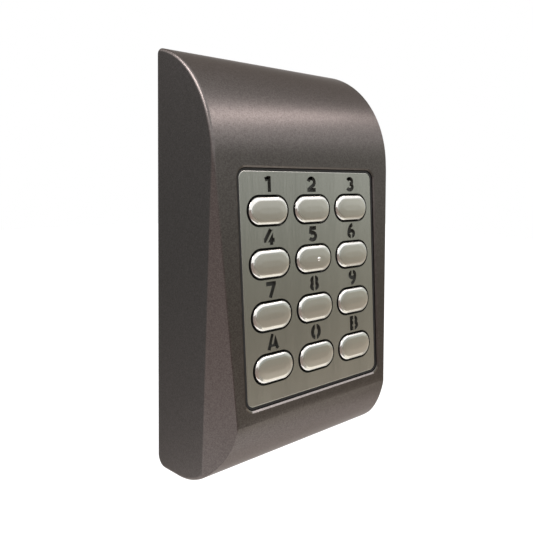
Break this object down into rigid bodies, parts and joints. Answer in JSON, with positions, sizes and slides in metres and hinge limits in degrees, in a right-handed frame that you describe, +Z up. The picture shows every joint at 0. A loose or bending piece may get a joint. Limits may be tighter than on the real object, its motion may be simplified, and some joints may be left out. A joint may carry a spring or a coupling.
{
  "type": "keypad access reader",
  "caption": "Wall-mounted keypad access reader: arched bronze cover with tapering corner bevels, brushed steel keypad plate and separate sprung obround keys.",
  "frame": {"origin": "centre of the back, on the wall", "axes": "+Z up, +Y into the wall, front towards -Y, +X to the right as seen from the front"},
  "size_m": [0.051, 0.026, 0.093],
  "materials": {
    "bronze_lacquer": "bronze metallic lacquer with a fine sparkle, satin",
    "brushed_plate": "brushed stainless steel, grain up and down",
    "black_gasket": "black adhesive foam",
    "legend_guide": "smoked clear sheet, dark when unlit",
    "satin_key": "satin cast metal with polished edges",
    "plunger_red": "moulded button",
    "grey_rubber": "matt silicone rubber",
    "board_green": "green solder mask",
    "switch_black": "black moulded",
    "lamp_white": "small white lamps",
    "zinc_screw": "zinc plated",
    "chip_black": "black moulded package",
    "can_grey": "plain aluminium can",
    "terminal_green": "moulded terminal block",
    "copper_wire": "enamelled copper winding",
    "dark_plastic": "dark moulded"
  },
  "bodies": {
    "base": {"housing": "bronze_lacquer", "keypad_plate": "brushed_plate", "window_gasket": "black_gasket", "light_guide": "legend_guide", "seal_mat": "grey_rubber", "keypad_board": "board_green", "tact_switches": "switch_black", "backlight_leds": "lamp_white", "board_screws": "zinc_screw", "controller_chip": "chip_black", "buzzer": "chip_black", "supply_capacitor": "can_grey", "tamper_sensor": "chip_black", "terminal_block": "terminal_green", "terminal_screws": "zinc_screw", "antenna_coil": "copper_wire", "back_plate": "dark_plastic", "cable_grommet": "black_gasket", "wall_seal": "grey_rubber", "locking_screw": "zinc_screw"},
    "key_1_body": {"key_1": "satin_key", "plunger_1": "plunger_red"},
    "key_2_body": {"key_2": "satin_key", "plunger_2": "plunger_red"},
    "key_3_body": {"key_3": "satin_key", "plunger_3": "plunger_red"},
    "key_4_body": {"key_4": "satin_key", "plunger_4": "plunger_red"},
    "key_5_body": {"key_5": "satin_key", "plunger_5": "plunger_red"},
    "key_6_body": {"key_6": "satin_key", "plunger_6": "plunger_red"},
    "key_7_body": {"key_7": "satin_key", "plunger_7": "plunger_red"},
    "key_8_body": {"key_8": "satin_key", "plunger_8": "plunger_red"},
    "key_9_body": {"key_9": "satin_key", "plunger_9": "plunger_red"},
    "key_a_body": {"key_a": "satin_key", "plunger_a": "plunger_red"},
    "key_0_body": {"key_0": "satin_key", "plunger_0": "plunger_red"},
    "key_b_body": {"key_b": "satin_key", "plunger_b": "plunger_red"}
  },
  "joints": [
    {"name": "key_1_press", "type": "slide", "parent": "base", "child": "key_1_body", "axis": [0, 0.9952, -0.0976], "range_m": [0, 0.0005], "stiffness_N_per_m": 1500, "springref_m": -0.0003},
    {"name": "key_2_press", "type": "slide", "parent": "base", "child": "key_2_body", "axis": [0, 0.9952, -0.0976], "range_m": [0, 0.0005], "stiffness_N_per_m": 1500, "springref_m": -0.0003},
    {"name": "key_3_press", "type": "slide", "parent": "base", "child": "key_3_body", "axis": [0, 0.9952, -0.0976], "range_m": [0, 0.0005], "stiffness_N_per_m": 1500, "springref_m": -0.0003},
    {"name": "key_4_press", "type": "slide", "parent": "base", "child": "key_4_body", "axis": [0, 0.9952, -0.0976], "range_m": [0, 0.0005], "stiffness_N_per_m": 1500, "springref_m": -0.0003},
    {"name": "key_5_press", "type": "slide", "parent": "base", "child": "key_5_body", "axis": [0, 0.9952, -0.0976], "range_m": [0, 0.0005], "stiffness_N_per_m": 1500, "springref_m": -0.0003},
    {"name": "key_6_press", "type": "slide", "parent": "base", "child": "key_6_body", "axis": [0, 0.9952, -0.0976], "range_m": [0, 0.0005], "stiffness_N_per_m": 1500, "springref_m": -0.0003},
    {"name": "key_7_press", "type": "slide", "parent": "base", "child": "key_7_body", "axis": [0, 0.9952, -0.0976], "range_m": [0, 0.0005], "stiffness_N_per_m": 1500, "springref_m": -0.0003},
    {"name": "key_8_press", "type": "slide", "parent": "base", "child": "key_8_body", "axis": [0, 0.9952, -0.0976], "range_m": [0, 0.0005], "stiffness_N_per_m": 1500, "springref_m": -0.0003},
    {"name": "key_9_press", "type": "slide", "parent": "base", "child": "key_9_body", "axis": [0, 0.9952, -0.0976], "range_m": [0, 0.0005], "stiffness_N_per_m": 1500, "springref_m": -0.0003},
    {"name": "key_a_press", "type": "slide", "parent": "base", "child": "key_a_body", "axis": [0, 0.9952, -0.0976], "range_m": [0, 0.0005], "stiffness_N_per_m": 1500, "springref_m": -0.0003},
    {"name": "key_0_press", "type": "slide", "parent": "base", "child": "key_0_body", "axis": [0, 0.9952, -0.0976], "range_m": [0, 0.0005], "stiffness_N_per_m": 1500, "springref_m": -0.0003},
    {"name": "key_b_press", "type": "slide", "parent": "base", "child": "key_b_body", "axis": [0, 0.9952, -0.0976], "range_m": [0, 0.0005], "stiffness_N_per_m": 1500, "springref_m": -0.0003}
  ]
}
